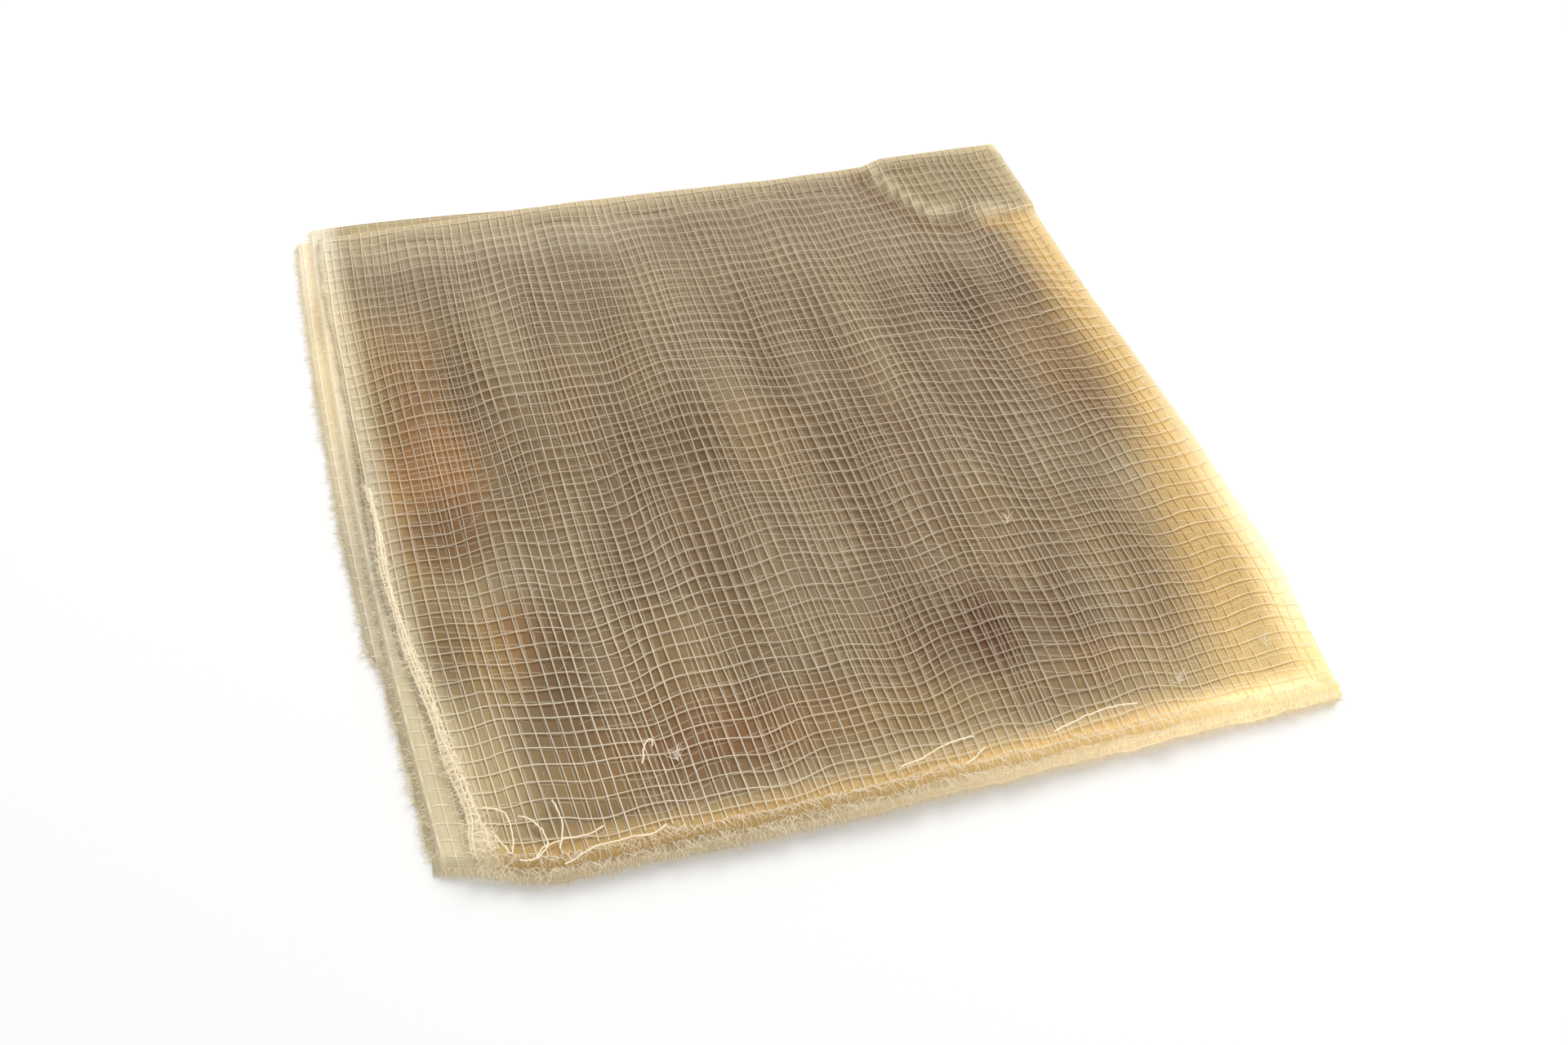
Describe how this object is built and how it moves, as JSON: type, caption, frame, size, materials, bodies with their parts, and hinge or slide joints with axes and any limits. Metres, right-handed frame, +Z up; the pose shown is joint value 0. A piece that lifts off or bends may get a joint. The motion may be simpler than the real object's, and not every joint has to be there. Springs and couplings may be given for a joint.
{
  "type": "tack cloth",
  "caption": "Folded square packet of sticky open-weave gauze for wiping dust off a surface, with pleated folds on one side and frayed cut edges on the others.",
  "frame": {"origin": "centre of the packet's underside, on the surface that it lies on", "axes": "+Z up through the plies, +Y towards the back folds, away from the cut ends, +X towards the pleats on the right"},
  "size_m": [0.1118, 0.1196, 0.0054],
  "materials": {
    "waxed_gauze": "satin"
  },
  "bodies": {
    "root": {"folded_cloth": "waxed_gauze"}
  },
  "joints": []
}
